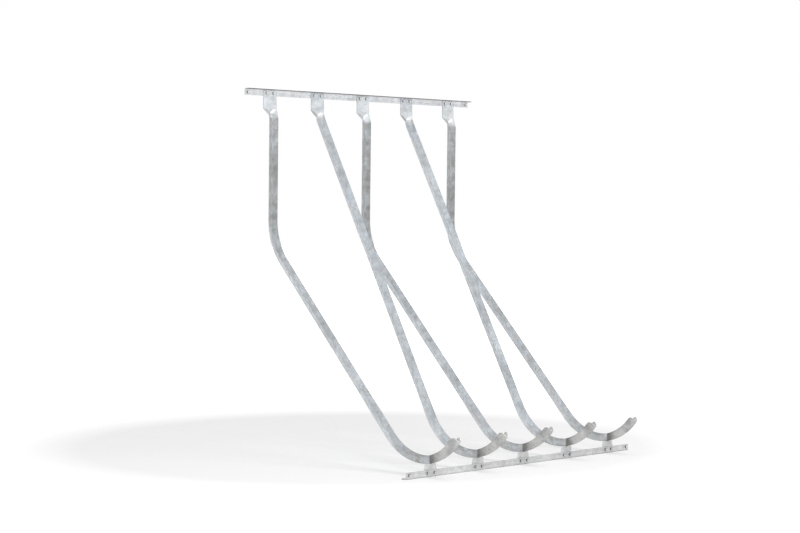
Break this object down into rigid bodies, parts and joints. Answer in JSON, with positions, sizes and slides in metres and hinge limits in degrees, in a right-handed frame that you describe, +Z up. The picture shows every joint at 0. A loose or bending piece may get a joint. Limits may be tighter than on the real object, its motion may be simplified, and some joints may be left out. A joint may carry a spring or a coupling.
{
  "type": "angled bike parking rack",
  "caption": "Galvanised wall and floor rack whose folded channels, long uprights and straight slopes in turn, hold bikes upright by the rear wheel.",
  "frame": {"origin": "in the corner between wall and floor, below the middle channel: Y = 0 is the wall, Z = 0 is the floor", "axes": "+X along the wall, to the right as seen from the room, +Y into the wall, +Z up"},
  "size_m": [1.75, 1.4474, 2.006],
  "materials": {
    "galvanised_rail": "hot-dip galvanised, pale and dull, faint spangle",
    "galvanised_channel": "hot-dip galvanised, bluish grey spangle",
    "galvanised_hook": "hot-dip galvanised, warm grey, satin",
    "galvanised_foot": "hot-dip galvanised, pale and dull",
    "zinc_fastener": "zinc plated"
  },
  "bodies": {
    "root": {"wall_rail": "galvanised_rail", "floor_rail": "galvanised_rail", "channel_1": "galvanised_channel", "channel_2": "galvanised_channel", "channel_3": "galvanised_channel", "channel_4": "galvanised_channel", "channel_5": "galvanised_channel", "cradle_hook_1": "galvanised_hook", "cradle_hook_2": "galvanised_hook", "cradle_hook_3": "galvanised_hook", "cradle_hook_4": "galvanised_hook", "cradle_hook_5": "galvanised_hook", "foot_tab_1": "galvanised_foot", "foot_tab_2": "galvanised_foot", "foot_tab_3": "galvanised_foot", "foot_tab_4": "galvanised_foot", "foot_tab_5": "galvanised_foot", "wall_bolt_1a": "zinc_fastener", "wall_bolt_1b": "zinc_fastener", "wall_bolt_2a": "zinc_fastener", "wall_bolt_2b": "zinc_fastener", "wall_bolt_3a": "zinc_fastener", "wall_bolt_3b": "zinc_fastener", "wall_bolt_4a": "zinc_fastener", "wall_bolt_4b": "zinc_fastener", "wall_bolt_5a": "zinc_fastener", "wall_bolt_5b": "zinc_fastener", "wall_end_bolt_left": "zinc_fastener", "wall_end_bolt_right": "zinc_fastener", "foot_bolt_1a": "zinc_fastener", "foot_bolt_1b": "zinc_fastener", "foot_bolt_2a": "zinc_fastener", "foot_bolt_2b": "zinc_fastener", "foot_bolt_3a": "zinc_fastener", "foot_bolt_3b": "zinc_fastener", "foot_bolt_4a": "zinc_fastener", "foot_bolt_4b": "zinc_fastener", "foot_bolt_5a": "zinc_fastener", "foot_bolt_5b": "zinc_fastener", "foot_nut_1a": "zinc_fastener", "foot_nut_1b": "zinc_fastener", "foot_nut_2a": "zinc_fastener", "foot_nut_2b": "zinc_fastener", "foot_nut_3a": "zinc_fastener", "foot_nut_3b": "zinc_fastener", "foot_nut_4a": "zinc_fastener", "foot_nut_4b": "zinc_fastener", "foot_nut_5a": "zinc_fastener", "foot_nut_5b": "zinc_fastener", "floor_end_bolt_left": "zinc_fastener", "floor_end_bolt_right": "zinc_fastener", "floor_end_nut_left": "zinc_fastener", "floor_end_nut_right": "zinc_fastener"}
  },
  "joints": []
}
